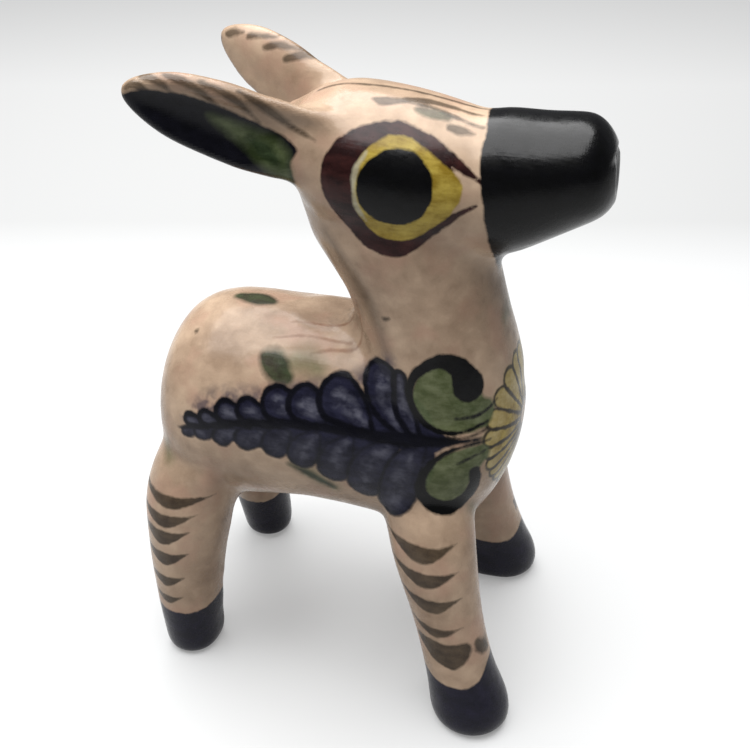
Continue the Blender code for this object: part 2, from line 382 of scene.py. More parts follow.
LOWER_PETALS = (
    ((20, 76, 1.8), (17, 70, 3.8), (15.6, 63, 4.3), (14.6, 60, 3.4)),
    ((13.5, 75.4, 2.3), (9, 70, 3.8), (8, 65.4, 4.2), (8, 63.8, 3.7)),
    ((4, 75.5, 1.2), (1.6, 71.4, 3.5), (0.6, 67.6, 4)),
    ((-3.5, 75.5, 0.8), (-6, 72.4, 3.2), (-7.1, 70, 3.6)),
    ((-10.5, 75, 0.8), (-13.2, 72.9, 3), (-13.7, 71.2, 3.1)),
    ((-17, 74.4, 0.7), (-19.6, 72.3, 2.5), (-20.9, 71.9, 2.8)),
    ((-23.5, 73.8, 0.6), (-26.2, 72.1, 2.2), (-27, 71.4, 2.3)),
    ((-29, 73, 0.5), (-31.5, 71.7, 1.8), (-32.4, 71.5, 1.9)),
    ((-33.5, 72, 0.4), (-35.6, 70.9, 1.3), (-36.6, 70.7, 1.2)),
)
WING_MIDRIB = (
    (-39, 71, 0.3), (-30, 74, 0.7), (-20, 76.3, 0.9), (-5, 77.6, 1), (8, 77.2, 1.3), (18, 77.5, 1.7),
    (26, 77.8, 0.9), (36, 77.4, 0.3),
)
WING_GROUNDS = (
    (
        (-34.5, 73.3, 1.2), (-20, 76.8, 3.4), (-6, 78.4, 4.6), (7, 79.6, 5.6), (15, 82, 6.4),
        (20, 78.4, 4.4), (26, 77.8, 1.2),
    ),
    (
        (-34.5, 72.3, 1), (-20, 73, 2.6), (-6, 72.4, 3.6), (4, 71, 4.8), (12, 69, 6.2),
        (18, 69, 4.8), (21, 74.4, 3),
    ),
)
WING_HALO = (
    (-36.5, 74, 0.6), (-32, 78, 2), (-26, 80.6, 2.2), (-19, 82.4, 1.2), (-10, 84.9, 0.8), (1, 87, 1),
    (8.5, 90.6, 1.6), (11.6, 94, 1.2),
)

SCROLL_GREEN = (
    (
        (18, 88), (20, 93.5), (25, 95.8), (30, 93), (34, 88), (37.5, 84.8), (36, 81), (30, 80), (24, 80.8),
        (19.5, 84),
    ),
    (
        (22, 68), (24, 73), (28, 75.3), (34, 75.6), (35.6, 73), (33, 70), (31, 66), (30, 62.5), (26.5, 61.5),
        (23, 63.5),
    ),
)
SCROLL_LINES = (
    (
        (36, 81.2, 0.3), (28, 79.6, 0.45), (22, 81, 0.7), (18, 85, 0.9), (16.9, 89, 1), (18.3, 93, 1.2),
        (22, 95.9, 1.5), (26, 96.4, 1.9), (29.6, 94.4, 2.7), (31.4, 90.8, 4.1),
    ),
    (
        (36.3, 76.6, 0.3), (31, 76.6, 0.4), (26, 75.3, 0.6), (22.4, 71.7, 0.9), (20.9, 67.3, 1.1),
        (21.3, 63.6, 1.5), (24.2, 60.9, 1.7), (28, 60.4, 1.7), (31.3, 62, 1.9), (32.8, 65.7, 1.7),
        (32.4, 69.2, 1.5),
    ),
    ((28.4, 83, 0.35), (33, 83.1, 0.4), (36.5, 84.3, 0.35), (39, 85.7, 0.3)),
    ((28.5, 72.4, 0.3), (31.5, 73.5, 0.35), (34.8, 74.2, 0.3)),
    ((25, 78.6, 0.35), (31, 78.5, 0.3), (35.5, 79.5, 0.3)),
)
FLOWER_CENTRE = (MID_CHEST, 75)
FLOWER_REACH = 15.8
FLOWER_TURNS = (90, 103, 121, 139, 158, 174, 186, 199, 211, 223, 237, 253, 270)  # degrees
FLOWER_PETAL = ((0.25, 0.8), (0.6, 1.7), (1, 2.2))  # share of the reach, and half width there
UPWARD_GROWTH = 0.5  # how much wider the tip of a petal that points up is
CREAM_FROM = 14.3  # distance from the flower's centre at which its petals turn pale
GREEN_DABS = (
    ((-18.8, 89.8, 1.1), (-15.6, 88.6, 2.7), (-12.4, 86.6, 1.7)),
    ((-10.5, 66.5, 0.5), (-5, 63.8, 1.1), (0, 60.8, 0.7)),
)
GREEN_SMEARS = (
    ((-13, 89.6, 1.6), (-8.6, 90, 2.3), (-5, 89, 1.5)),
    ((29, 86.6, 1.4), (34, 84, 1.6), (38.4, 80, 1.2), (38.6, 72, 1)),
    ((-9, 67, 1.2), (-4, 64, 1.8), (0, 61, 1.2)),
    ((-44.5, 63, 1.4), (-43.5, 60, 1.2)),
    ((47, 102, 1.2), (51, 102.5, 1.2)),
    ((33, 58, 0.6), (35, 55, 0.5)),
)
BACK_FLOOR = 80  # height above which the dab on the back lies
SIDE_HEIGHTS = (40, 104)  # heights between which the wing lies
NAPE_FOOT = 88
NAPE = ((-3.5, 122, 1), (2, 114, 1.5), (7, 106, 1.8), (10.5, 97, 1.4), (11, 93, 0.8))
FLECKS = (((10.5, 104.4, 0.7), (11.4, 104.8, 0.4)), ((-38, 91, 0.3), (-37.4, 91.3, 0.2)))

# Side of the head and ear, (x, z)
HEAD_FLOOR = 112  # height above which the head's paint lies
MUZZLE_EDGE = (29.8, 132)  # (x, z) on the edge of the muzzle's black
MUZZLE_EDGE_RAKE = 0.125  # how far it leans forward for each millimetre down
MUZZLE_EDGE_WAVE = 0.35
EYE_BROWN = (
    (-2.8, 137), (-1.2, 141.6), (3, 144.9), (10, 146.4), (16, 145.2), (20.8, 142.4), (23.2, 139.4),
    (24.4, 135), (23.4, 130.6), (19.6, 124.2), (15.5, 120.4), (11, 119.7), (5.5, 121.8), (0.5, 127),
    (-2.2, 132),
)
EYE_BRANCHES = (
    ((18, 143.2, 1.3), (22, 140.9, 1.1), (25.5, 138.7, 0.8), (30, 136, 0.35)),
    ((17, 123, 1.2), (20.6, 126.2, 1), (24.6, 129.5, 0.75), (28.6, 131.8, 0.25)),
)
EYE_YELLOW = (
    (4.2, 136), (5, 140), (8, 143.2), (12, 144.3), (16.5, 142.9), (21, 140), (24.4, 137.6), (25.7, 134.9),
    (24.6, 131.2), (21, 127.4), (17, 124.3), (13, 123.3), (9, 124.2), (6, 127), (4.4, 131.5),
)
# A pale line along the pupil's left edge, between the pupil and the brown
PUPIL_PALE_EDGE = ((6.4, 141.4, 0.3), (4.7, 138.2, 0.6), (4.4, 134, 0.45), (5.1, 130, 0.5), (6.6, 127.4, 0.3))
PUPIL = ((12.5, 134.6, 7.6), (12.6, 134.6, 7.6))
EAR_BLACK = (
    (-43, 149), (-41, 151.6), (-37, 152.6), (-30, 151.8), (-22, 148.8), (-15, 144.9), (-8.2, 141),
    (-9.3, 137.5), (-9.2, 132.2), (-14, 131), (-22, 132.5), (-32, 138), (-40, 144),
)
EAR_GREEN = ((-25, 147), (-17, 144), (-10.6, 140.6), (-9.6, 137), (-10, 133.6), (-14, 136), (-19, 141))
EAR_BLOB = ((-18, 142, 0.7), (-15, 140, 1.7), (-12.6, 138.2, 1.2))
EAR_LINE = (10.5, -0.42, -0.0022)  # how far out an ear's middle line lies, as a quadratic in X
SCOOP_RIM = 1.2  # how far out of that line the scoop's paint starts
LEFT_EAR_LOWER = 2.5  # how much lower the left ear's root lies
LEFT_EAR_TIP = -41.7  # X where it is no lower
LEFT_EAR_LENGTH = 40.5
EARS_IN_FRONT = 2  # X behind which the ears' strokes lie
EARS_FLOOR = 128  # height above which they lie
# The upper side of an ear, as slanted() sees it
EAR_STROKES = (
    ((-45.6, 122, 0.5), (-43.6, 122.6, 0.9), (-40.4, 121, 0.25)),
    ((-42.2, 124.2, 0.5), (-40, 123.7, 0.9), (-35.5, 120.7, 0.25)),
    ((-37.6, 124.3, 0.5), (-34.8, 123.4, 0.95), (-31.4, 121.6, 0.7), (-26.6, 118.6, 0.25)),
    ((-30.6, 122.9, 0.5), (-27, 121.4, 0.8), (-23.6, 119.6, 0.65), (-19.6, 116.6, 0.25)),
    ((-23.2, 121.4, 0.4), (-19.5, 119.4, 0.75), (-15.6, 117.2, 0.6), (-8.6, 113, 0.2)),
)
# The left ear's inner face, (x, z)
FAR_EAR_STROKES = (
    ((-39, 152.6, 0.4), (-37.4, 153.1, 0.9), (-34, 153.6, 0.25)),
    ((-32.6, 153, 0.5), (-30, 153.4, 0.6), (-25, 153.4, 0.2)),
    ((-28, 151.2, 0.7), (-24, 152, 0.7), (-17, 151, 0.2)),
    ((-22.2, 149.3, 0.7), (-19, 150.4, 0.8), (-12, 150.4, 0.2)),
)

# Top of the head and back, (x, y)
CROWN_FLOOR = 138  # height above which the head's strokes lie
HEAD_STROKES = (
    (
        (5, -6.6, 0.4), (7, -6.8, 1.3), (9, -6.3, 1.1), (12, -4.9, 1), (15, -3.6, 1.1), (19, -2.9, 0.8),
        (27, -2.8, 0.3),
    ),
    ((11, -5.8, 0.3), (16, -5.2, 0.6), (21, -5.6, 0.6), (28, -6.6, 0.25)),
    ((21.5, -8.7, 0.9), (23.5, -8.5, 1), (26.5, -8.2, 0.3)),
    ((-8, -2.2, 0.4), (-3, -1.6, 0.55), (6, -0.8, 0.5), (16, 0.2, 0.6), (24, 0.9, 0.5), (28, 1.2, 0.25)),
    ((11, 5.8, 0.3), (16, 6.4, 0.5), (21, 6.8, 0.45), (27, 7.4, 0.2)),
)
HEAD_DAB = ((14.4, -7, 0.7), (17, -6.9, 1.4), (20.4, -6.6, 1))
# Lines scratched where the back meets the neck, and the heights between which they lie
TOOL_HEIGHTS = (86, 106)
TOOL_MARKS = (
    ((-18, -12, 0.15), (-9, -10.5, 0.3), (1, -11, 0.2)),
    ((-15, -7, 0.15), (-8, -6.2, 0.35), (0, -5, 0.3), (3.4, -1, 0.2)),
    ((-8, -14.6, 0.2), (-3, -13, 0.4), (2.6, -12, 0.3), (4.6, -7, 0.2)),
)
BACK_DAB = ((-31, 0.5, 1.6), (-26, 0, 3), (-22.5, -0.5, 1.6))

# Bands round a leg's outer side: top z, how deep they hang, and reach back and forward from the leg's
# middle as shares of its half width
FRONT_BANDS = (
    (52.6, 4.6, -0.85, 0.72),
    (46.2, 4.4, -0.9, 0.7),
    (39.4, 4.2, -0.92, 0.68),
    (31.6, 3, -0.88, 0.6),
)
REAR_BANDS = (
    (52, 3.6, -1, 0.75),
    (47, 4, -1, 0.5),
    (42.4, 4.6, -1, 0.42),
    (35.8, 4.4, -1, 0.4),
    (28, 3.6, -1, 0.3),
    (21.4, 2.8, -0.95, 0.2),
)
FRONT_DAB = (
    (-0.8, 27), (-0.3, 27.4), (0.2, 27), (0.65, 27.4), (0.7, 24.6), (0.5, 22.2), (0.1, 20.4), (-0.35, 21.6),
    (-0.62, 23.6),
)
FRONT_DROP = ((0.86, 26.6, 0.4), (0.9, 24.6, 0.9), (0.98, 22, 0.25))
HOOF_LINE = 15.4  # height of a hoof's glaze at the leg's middle
HOOF_RISE = 5.0  # how much higher it is at the front of a front leg
REAR_LINE = 0.5  # how much higher it is on a rear leg's middle
REAR_RISE = 0.3  # share of the rise on a rear leg
FLOOR_REFLECTION_HEIGHT = 0.9  # height up to which a painted reflection of the floor greys the feet
BAND_SAG = 0.12  # how far a band's upper edge sags, as a share of its depth

# The legs' lines
LEGS_PART = -5  # X between the front and the rear legs
FRONT_HIP = (22.2, 18.5, 53)
FRONT_RAKE = 0.298  # how far a front leg leans forward for each millimetre down
FRONT_SPLAY = 0.235  # how far it leans outwards
REAR_HIP = (-41.4, 17.5, 51)
REAR_KNEE = (38, 55)  # heights between which a rear leg's line shifts forward by 1
REAR_SPLAY = 0.19
FRONT_HALF = 8.7  # half width of a front leg's shank
FRONT_SWELL = (22, 56, 3)  # heights between which it grows, and by how much
REAR_HALF = 8.2
REAR_SWELL = (14, 56, 4.2)

# Direction from which the ears' strokes are laid: shares of X, the distance from the middle, and Z
SLANT_ACROSS = (0.961, -0.276, 0)
SLANT_UP = (-0.147, -0.512, 0.846)


def leg_place(x, z):
    """How far forward of the leg's middle a point is, as a share of the half width, and that half width."""
    front = x > LEGS_PART
    front_middle = FRONT_HIP[0] + (FRONT_HIP[2] - z) * FRONT_RAKE
    middle = np.where(front, front_middle, REAR_HIP[0] + ramp(z, *REAR_KNEE))
    front_half = FRONT_HALF + ramp(z, *FRONT_SWELL[:2]) * FRONT_SWELL[2]
    rear_half = REAR_HALF + ramp(z, *REAR_SWELL[:2]) * REAR_SWELL[2]
    half = np.where(front, front_half, rear_half)
    return (x - middle) / half, half


def band(place, half, top, depth, back, forward):
    """A dark band: a level upper edge between two thin tips, and a belly that hangs from it."""
    wide, high = place.T
    swell = np.sin(np.pi * np.clip((wide - back) / (forward - back), 0, 1))
    lower = top - depth * np.clip(swell, 0, 1) ** 1.2
    inside = np.maximum(high - (top - BAND_SAG * depth * swell), lower - high)
    ends = np.maximum(back - wide, wide - forward) * half
    return np.clip(np.maximum(inside, ends), -FAR, FAR)


def round_the_side(x, y, z):
    """Points of the trunk's side, rolled out round the chest."""
    turn = np.arctan2(x - CHEST_TURN, np.maximum(np.abs(y), 1e-6))
    return np.column_stack([np.where(x < CHEST_TURN, x, CHEST_TURN + CHEST_RADIUS * turn), z])


def slanted(x, y, z):
    """Points seen from above and beside, from their own side of the figure."""
    return np.column_stack([x, np.abs(y), z]) @ np.column_stack([SLANT_ACROSS, SLANT_UP])


def wing_paint(x, y, z):
    """The wing of overlapping leaves along the side."""
    side = round_the_side(x, y, z)
    foot, top = SIDE_HEIGHTS
    beyond = np.maximum(z - top, foot - z)
    made = {}
    for name, several in (("wing", UPPER_PETALS), ("wing_low", LOWER_PETALS)):
        for part, away in zip(("_even", "_odd", "_light"), petals(side, several)):
            made[name + part] = np.maximum(away, beyond)
    made["wing_ground"] = np.maximum(strokes(side, WING_GROUNDS), beyond)
    made["wing_halo"] = np.maximum(stroke(side, WING_HALO), beyond)
    made["wing_midrib"] = stroke(side, WING_MIDRIB)
    return made


def trunk_paint(x, y, z):
    """Scrolls, dabs, smears and marks on the trunk and the neck."""
    side = round_the_side(x, y, z)
    plan = np.column_stack([x, y])
    on_back = np.where(z > BACK_FLOOR, stroke(plan, BACK_DAB), FAR)
    by_neck = (z > TOOL_HEIGHTS[0]) & (z < TOOL_HEIGHTS[1])
    return {
        "scroll_green": np.min([patch(side, outline) for outline in SCROLL_GREEN], axis=0),
        "scroll_line": strokes(side, SCROLL_LINES),
        "green_dab": np.minimum(strokes(side, GREEN_DABS), on_back),
        "green_smear": strokes(side, GREEN_SMEARS),
        "tool_mark": np.where(by_neck, strokes(plan, TOOL_MARKS), FAR),
        "nape": np.maximum(stroke(np.column_stack([x, z]), NAPE), NAPE_FOOT - z),
        "fleck": strokes(side, FLECKS),
    }


def flower_paint(x, y, z):
    """The flower on the middle of the chest, its petals paler towards their tips."""
    side = round_the_side(x, y, z)
    fan = []
    for degrees in FLOWER_TURNS:
        along = np.array((math.cos(math.radians(degrees)), math.sin(math.radians(degrees))))
        line = [[*(FLOWER_CENTRE + along * share * FLOWER_REACH), r] for share, r in FLOWER_PETAL]
        line[-1][2] += UPWARD_GROWTH * max(along[1], 0)
        fan.append(line)
    even, odd = petals(side, fan)[:2]
    across, up = (side - FLOWER_CENTRE).T
    pale = CREAM_FROM - np.hypot(across, up) - 0.5 * np.maximum(up, 0)
    return {
        "flower_even": even,
        "flower_odd": odd,
        "flower_rim": np.maximum(pale, np.minimum(even, odd)),
    }


def head_paint(x, y, z):
    """Eyes, the muzzle's black, and the strokes on the forehead."""
    profile = np.column_stack([x, z])
    plan = np.column_stack([x, y])
    below = HEAD_FLOOR - z
    brown = np.minimum(patch(profile, EYE_BROWN), strokes(profile, EYE_BRANCHES))
    edge = MUZZLE_EDGE[0] - MUZZLE_EDGE_RAKE * (z - MUZZLE_EDGE[1])
    edge += MUZZLE_EDGE_WAVE * np.sin(y / 3 + z / 5)
    return {
        "eye_brown": np.maximum(brown, below),
        "eye_yellow": np.maximum(patch(profile, EYE_YELLOW), below),
        "pupil_pale_edge": np.maximum(stroke(profile, PUPIL_PALE_EDGE), below),
        "pupil": np.maximum(stroke(profile, PUPIL), below),
        "muzzle_black": np.clip(np.maximum(edge - x, below), -FAR, FAR),
        "olive_strokes": np.where(z > CROWN_FLOOR, strokes(plan, HEAD_STROKES), FAR),
        "head_dab": np.where(z > CROWN_FLOOR, stroke(plan, HEAD_DAB), FAR),
    }


def ear_paint(x, y, z):
    """Black scoops with green in them, and the strokes on the ears' upper sides."""
    width = np.abs(y)
    lower = LEFT_EAR_LOWER * np.clip((x - LEFT_EAR_TIP) / LEFT_EAR_LENGTH, 0, 1)
    level = np.column_stack([x, z + np.where(y > 0, lower, 0)])
    middle = EAR_LINE[0] + EAR_LINE[1] * x + EAR_LINE[2] * x**2
    inner = middle - width - SCOOP_RIM
    upper_strokes = strokes(slanted(x, y, z), EAR_STROKES)
    inner_left = (y > 0) & (width < middle + 1)
    far_strokes = strokes(np.column_stack([x, z]), FAR_EAR_STROKES)
    on_ears = (x < EARS_IN_FRONT) & (z > EARS_FLOOR)
    return {
        "ear_black": np.maximum(patch(level, EAR_BLACK), inner),
        "ear_green": np.maximum(patch(level, EAR_GREEN), inner),
        "ear_blob": np.maximum(stroke(level, EAR_BLOB), inner),
        "olive_strokes": np.where(on_ears, np.where(inner_left, far_strokes, upper_strokes), FAR),
    }


def leg_paint(x, y, z):
    """Bands round the legs, the hooves' cobalt and a painted floor reflection along the soles' edges."""
    forward, half = leg_place(x, z)
    leg = np.column_stack([forward, z])
    front = x > LEGS_PART
    bands = np.full(len(x), FAR)
    for rows, here in ((FRONT_BANDS, front), (REAR_BANDS, ~front)):
        for row in rows:
            bands = np.where(here, np.minimum(bands, band(leg, half, *row)), bands)
    scaled = np.column_stack([forward * FRONT_HALF, z])
    dab = patch(scaled, [(u * FRONT_HALF, v) for u, v in FRONT_DAB])
    drop = stroke(scaled, [(u * FRONT_HALF, v, r) for u, v, r in FRONT_DROP])
    bands = np.where(front, np.minimum(bands, np.minimum(dab, drop)), bands)
    front_middle = FRONT_HIP[1] + (FRONT_HIP[2] - z) * FRONT_SPLAY
    rear_middle = REAR_HIP[1] + (REAR_HIP[2] - z) * REAR_SPLAY
    outside = np.where(front, front_middle, rear_middle) - np.abs(y)
    within = np.clip(forward, -1.1, 1.1)
    rise = HOOF_RISE * np.where(within > 0, within**4, 0.4 * within**2)
    edge = HOOF_LINE + np.where(front, rise, REAR_LINE + REAR_RISE * rise)
    return {
        "leg_band": np.maximum(bands, outside),
        "hoof_blue": np.clip(z - edge, -FAR, FAR),
        # painted reflection of the floor along the feet's lowest edge
        "floor_reflection_rim": np.clip(z - FLOOR_REFLECTION_HEIGHT, -FAR, FAR),
    }


def paint(points):
    """Distances from each kind of paint at points of the surface, the nearest where two meet."""
    made = {}
    for part in (wing_paint, trunk_paint, flower_paint, head_paint, ear_paint, leg_paint):
        for key, away in part(*points.T).items():
            made[key] = np.minimum(made.get(key, FAR), away)
    return made


# ---------- materials ----------

# Sizes of the unevenness in the slip, the paint and the glaze
POOLS = 16
BLUSHES = 10
MOTTLES = 3.2
PATCHES = 3.6
BRISTLES = 2.2
BRISTLE_STRETCH = (0.35, 1, 1)
WAVES = 2.4
WAVE_HEIGHT = 0.18  # how far a painted edge strays
GRAIN = 0.9
RIPPLES = 6
RELIEF = 0.35  # height of the glaze's ripples

# Each layer of paint, from the lowest to the highest: the distance it follows, whether it is a fill, a
# dry and patchy fill or an outline of that distance, how far it reaches beyond it, how soft its edge
# is, its thin and its thick colour, and how strongly it covers
GROUND = ((0.37, 0.27, 0.19), (0.205, 0.14, 0.094))
ROSY = (0.3, 0.185, 0.132)
# painted reflection of the floor, grey along the feet's lowest edge
REFLECTED_FLOOR_GREY = ((0.17, 0.155, 0.14), (0.1, 0.09, 0.08))
UMBER = ((0.03, 0.022, 0.012), (0.012, 0.008, 0.005))
OLIVE = ((0.06, 0.042, 0.026), (0.024, 0.016, 0.01))
RUST = ((0.2, 0.1, 0.06), (0.12, 0.055, 0.03))
GREEN = ((0.1, 0.118, 0.058), (0.034, 0.05, 0.013))
DARK_GREEN = ((0.02, 0.036, 0.015), (0.004, 0.008, 0.003))
NAVY = ((0.015, 0.015, 0.03), (0.004, 0.004, 0.01))
SLATE = ((0.095, 0.095, 0.118), (0.022, 0.022, 0.038))
VIOLET = ((0.1, 0.075, 0.075), (0.04, 0.03, 0.042))
YELLOW = ((0.33, 0.25, 0.05), (0.165, 0.108, 0.012))
CREAM = ((0.38, 0.31, 0.16), (0.27, 0.205, 0.07))
BROWN = ((0.032, 0.01, 0.009), (0.01, 0.003, 0.003))
BLACK = ((0.002, 0.002, 0.0025), (0.001, 0.001, 0.001))
BLUE_BLACK = ((0.004, 0.004, 0.007), (0.0015, 0.0015, 0.003))
COBALT = ((0.008, 0.007, 0.018), (0.003, 0.0027, 0.008))
WHITE = ((0.34, 0.32, 0.24), (0.24, 0.22, 0.15))
LAYERS = (
    ("nape", "fill", 0.0, 1.2, OLIVE, 0.45),
    ("tool_mark", "fill", 0.0, 0.3, RUST, 0.7),
    ("green_smear", "fill", 0.0, 1.6, GREEN, 0.6),
    ("leg_band", "fill", 0.0, 0.3, OLIVE, 0.95),
    ("olive_strokes", "fill", 0.0, 0.35, OLIVE, 0.82),
    ("head_dab", "fill", 0.0, 0.5, DARK_GREEN, 0.75),
    ("green_dab", "fill", 0.0, 0.7, DARK_GREEN, 0.92),
    ("fleck", "fill", 0.0, 0.3, OLIVE, 0.9),
    ("wing_halo", "dry", 0.3, 1.5, VIOLET, 0.85),
    ("wing_ground", "fill", 0.0, 0.4, NAVY, 1.0),
    ("wing_low_even", "fill", 0.3, 0.4, NAVY, 1.0),
    ("wing_low_odd", "fill", 0.3, 0.4, NAVY, 1.0),
    ("wing_low_light", "dry", -0.2, 1.2, SLATE, 0.7),
    ("wing_low_even", "line", 0.25, 0.4, BLUE_BLACK, 0.75),
    ("wing_low_odd", "line", 0.25, 0.4, BLUE_BLACK, 0.75),
    ("wing_even", "fill", 0.3, 0.3, NAVY, 1.0),
    ("wing_odd", "fill", 0.3, 0.3, NAVY, 1.0),
    ("wing_light", "dry", 0.0, 0.8, SLATE, 0.9),
    ("wing_even", "line", 0.6, 0.3, BLUE_BLACK, 1.0),
    ("wing_odd", "line", 0.6, 0.3, BLUE_BLACK, 1.0),
    ("wing_midrib", "fill", 0.0, 0.4, BLUE_BLACK, 1.0),
    ("flower_even", "fill", 0.0, 0.3, YELLOW, 0.95),
    ("flower_odd", "fill", 0.0, 0.3, YELLOW, 0.95),
    ("flower_rim", "fill", 0.0, 1.0, CREAM, 0.8),
    ("flower_even", "line", 0.38, 0.25, UMBER, 0.95),
    ("flower_odd", "line", 0.38, 0.25, UMBER, 0.95),
    ("scroll_green", "fill", 0.5, 0.5, GREEN, 0.95),
    ("scroll_line", "fill", 0.0, 0.3, BLACK, 1.0),
    ("eye_brown", "fill", 0.0, 0.25, BROWN, 1.0),
    ("eye_yellow", "fill", 0.0, 0.25, YELLOW, 1.0),
    # a pale line along the pupil's left edge
    ("pupil_pale_edge", "fill", 0.0, 0.3, WHITE, 0.85),
    ("pupil", "fill", 0.0, 0.25, BLACK, 1.0),
    ("ear_black", "fill", 0.0, 0.35, BLUE_BLACK, 1.0),
    ("ear_green", "fill", 0.2, 1.2, GREEN, 0.85),
    ("ear_blob", "fill", 0.0, 0.8, DARK_GREEN, 0.8),
    ("muzzle_black", "fill", 0.0, 0.3, BLACK, 1.0),
    ("hoof_blue", "fill", 0.0, 0.3, COBALT, 1.0),
    # painted reflection of the floor along the feet's lowest edge
    ("floor_reflection_rim", "dry", 0.0, 0.7, REFLECTED_FLOOR_GREY, 0.85),
)


class Nodes:
    """Short calls that add nodes to a material."""

    def __init__(self, material):
        material.use_nodes = True
        self.tree = material.node_tree
        self.tree.nodes.clear()

    def add(self, kind, settings=None, **inputs):
        """Adds a node. In the names of its inputs, _ stands for a space."""
        node = self.tree.nodes.new("ShaderNode" + kind)
        for key, value in (settings or {}).items():
            setattr(node, key, value)
        for key, value in inputs.items():
            self.feed(node.inputs[key.replace("_", " ")], value)
        return node

    def feed(self, socket, value):
        """Links a socket to a value that is a socket itself, or sets it."""
        if isinstance(value, bpy.types.NodeSocket):
            self.tree.links.new(value, socket)
        else:
            socket.default_value = value

    def math(self, operation, first, second=0.0):
        node = self.add("Math", {"operation": operation})
        self.feed(node.inputs[0], first)
        self.feed(node.inputs[1], second)
        return node.outputs[0]

    def blend(self, first, first_share, second, second_share):
        """The sum of two values, each multiplied by its share."""
        first = self.math("MULTIPLY", first, first_share)
        return self.math("ADD", first, self.math("MULTIPLY", second, second_share))

    def spread(self, value, from_low, from_high, to_low, to_high):
        """The value, its first range spread over the second one."""
        node = self.add("MapRange", None, Value=value)
        limits = (from_low, from_high, to_low, to_high)
        for key, number in zip(("From Min", "From Max", "To Min", "To Max"), limits):
            node.inputs[key].default_value = number
        return node.outputs["Result"]

    def mixed(self, factor, first, second):
        """The first colour, or the second one as far as factor says."""
        node = self.add("Mix", {"data_type": "RGBA"})
        self.feed(node.inputs[0], factor)
        for socket, colour in ((node.inputs[6], first), (node.inputs[7], second)):
            self.feed(socket, (*colour, 1) if isinstance(colour, tuple) else colour)
        return node.outputs[2]

    def noise(self, place, size, detail=3.0, roughness=0.55, stretch=(1, 1, 1)):
        """Noise from 0 to 1 whose features are about size millimetres."""
        scaled = self.add("Mapping", None, Vector=place, Scale=Vector(stretch) / (size * MM)).outputs[0]
        node = self.add("TexNoise", None, Vector=scaled, Scale=1.0, Detail=detail, Roughness=roughness)
        return node.outputs[0]


def slip_colour(nodes, place, mottled):
    """The mottled slip under the paint, with a blush here and there."""
    tone = nodes.blend(nodes.noise(place, POOLS, 3), 0.65, mottled, 0.35)
    colour = nodes.mixed(nodes.spread(tone, 0.36, 0.64, 0.0, 1.0), *GROUND)
    blush = nodes.spread(nodes.noise(place, BLUSHES, 2), 0.5, 0.66, 0.0, 0.55)
    return nodes.mixed(blush, colour, ROSY)


def brushed_colour(nodes, place, mottled, colour, worn):
    """The layers of paint over a colour."""
    wavy = nodes.spread(nodes.noise(place, WAVES, 2), 0.3, 0.7, -WAVE_HEIGHT, WAVE_HEIGHT)
    patchy = nodes.spread(nodes.noise(place, PATCHES, 2), 0.4, 0.56, 0.15, 1.0)
    bristles = nodes.noise(place, BRISTLES, 3, 0.6, BRISTLE_STRETCH)
    thickness = nodes.spread(nodes.blend(bristles, 0.6, mottled, 0.4), 0.36, 0.6, 0.0, 1.0)
    for key, form, reach, edge, colours, cover in LAYERS:
        if key not in worn:
            continue
        away = nodes.add("Attribute", {"attribute_name": key}).outputs["Fac"]
        if form == "line":
            away = nodes.math("ABSOLUTE", away)
        away = nodes.math("ADD", away, wavy)
        mask = nodes.spread(away, reach - edge, reach + edge, cover, 0.0)
        if form == "dry":
            mask = nodes.math("MULTIPLY", mask, patchy)
        colour = nodes.mixed(mask, colour, nodes.mixed(thickness, *colours))
    return colour


def painted_glaze(name, worn):
    """A clear glaze over brushed colours. worn names the kinds of paint that the piece wears."""
    material = bpy.data.materials.new(name)
    nodes = Nodes(material)
    place = nodes.add("TexCoord").outputs["Object"]
    mottled = nodes.noise(place, MOTTLES, 4, 0.6)
    slip = slip_colour(nodes, place, mottled)
    height = nodes.blend(nodes.noise(place, GRAIN, 2), 0.12, nodes.noise(place, RIPPLES, 2), 0.9)
    bump = nodes.add("Bump", None, Height=height, Strength=0.6, Distance=RELIEF * MM)
    shader = nodes.add(
        "BsdfPrincipled",
        None,
        Base_Color=brushed_colour(nodes, place, mottled, slip, worn),
        Roughness=nodes.spread(mottled, 0.3, 0.7, 0.2, 0.34),
        Normal=bump.outputs[0],
        IOR=1.5,
        Specular_IOR_Level=0.14,
        Coat_Weight=0.08,
        Coat_Roughness=0.15,
    )
    output = nodes.add("OutputMaterial")
    nodes.tree.links.new(shader.outputs[0], output.inputs["Surface"])
    return material


# ---------- pieces ----------

JOINT_DEPTH = 0.15  # a face whose middle lies this far off the clay's surface is a joint's
JOINT_TILT = 0.6  # and so is one whose normal agrees with the clay's less than this
WORN_WITHIN = 1.0  # a piece wears each paint that comes this near to it


def figure_mesh(field):
    """The whole figure's surface, in metres."""
    points, quads = surface_of(field, 0.0)
    mesh = bpy.data.meshes.new("figure")
    mesh.from_pydata((points * MM).tolist(), [], quads[:, ::-1].tolist())
    mesh.validate()
    return mesh


def block(centre, toward, size):
    """A box that starts at centre and reaches along toward. size is its length, then its two widths."""
    mesh = bpy.data.meshes.new("block")
    corners = [Vector((a, b, c)) for a in (0, 1) for b in (-0.5, 0.5) for c in (-0.5, 0.5)]
    faces = [(0, 1, 3, 2), (4, 6, 7, 5), (0, 4, 5, 1), (2, 3, 7, 6), (0, 2, 6, 4), (1, 5, 7, 3)]
    turn = Vector(toward).to_track_quat("X", "Z").to_matrix()
    made = [(turn @ (corner * Vector(size)) + Vector(centre)) * MM for corner in corners]
    mesh.from_pydata(made, [], faces)
    return mesh


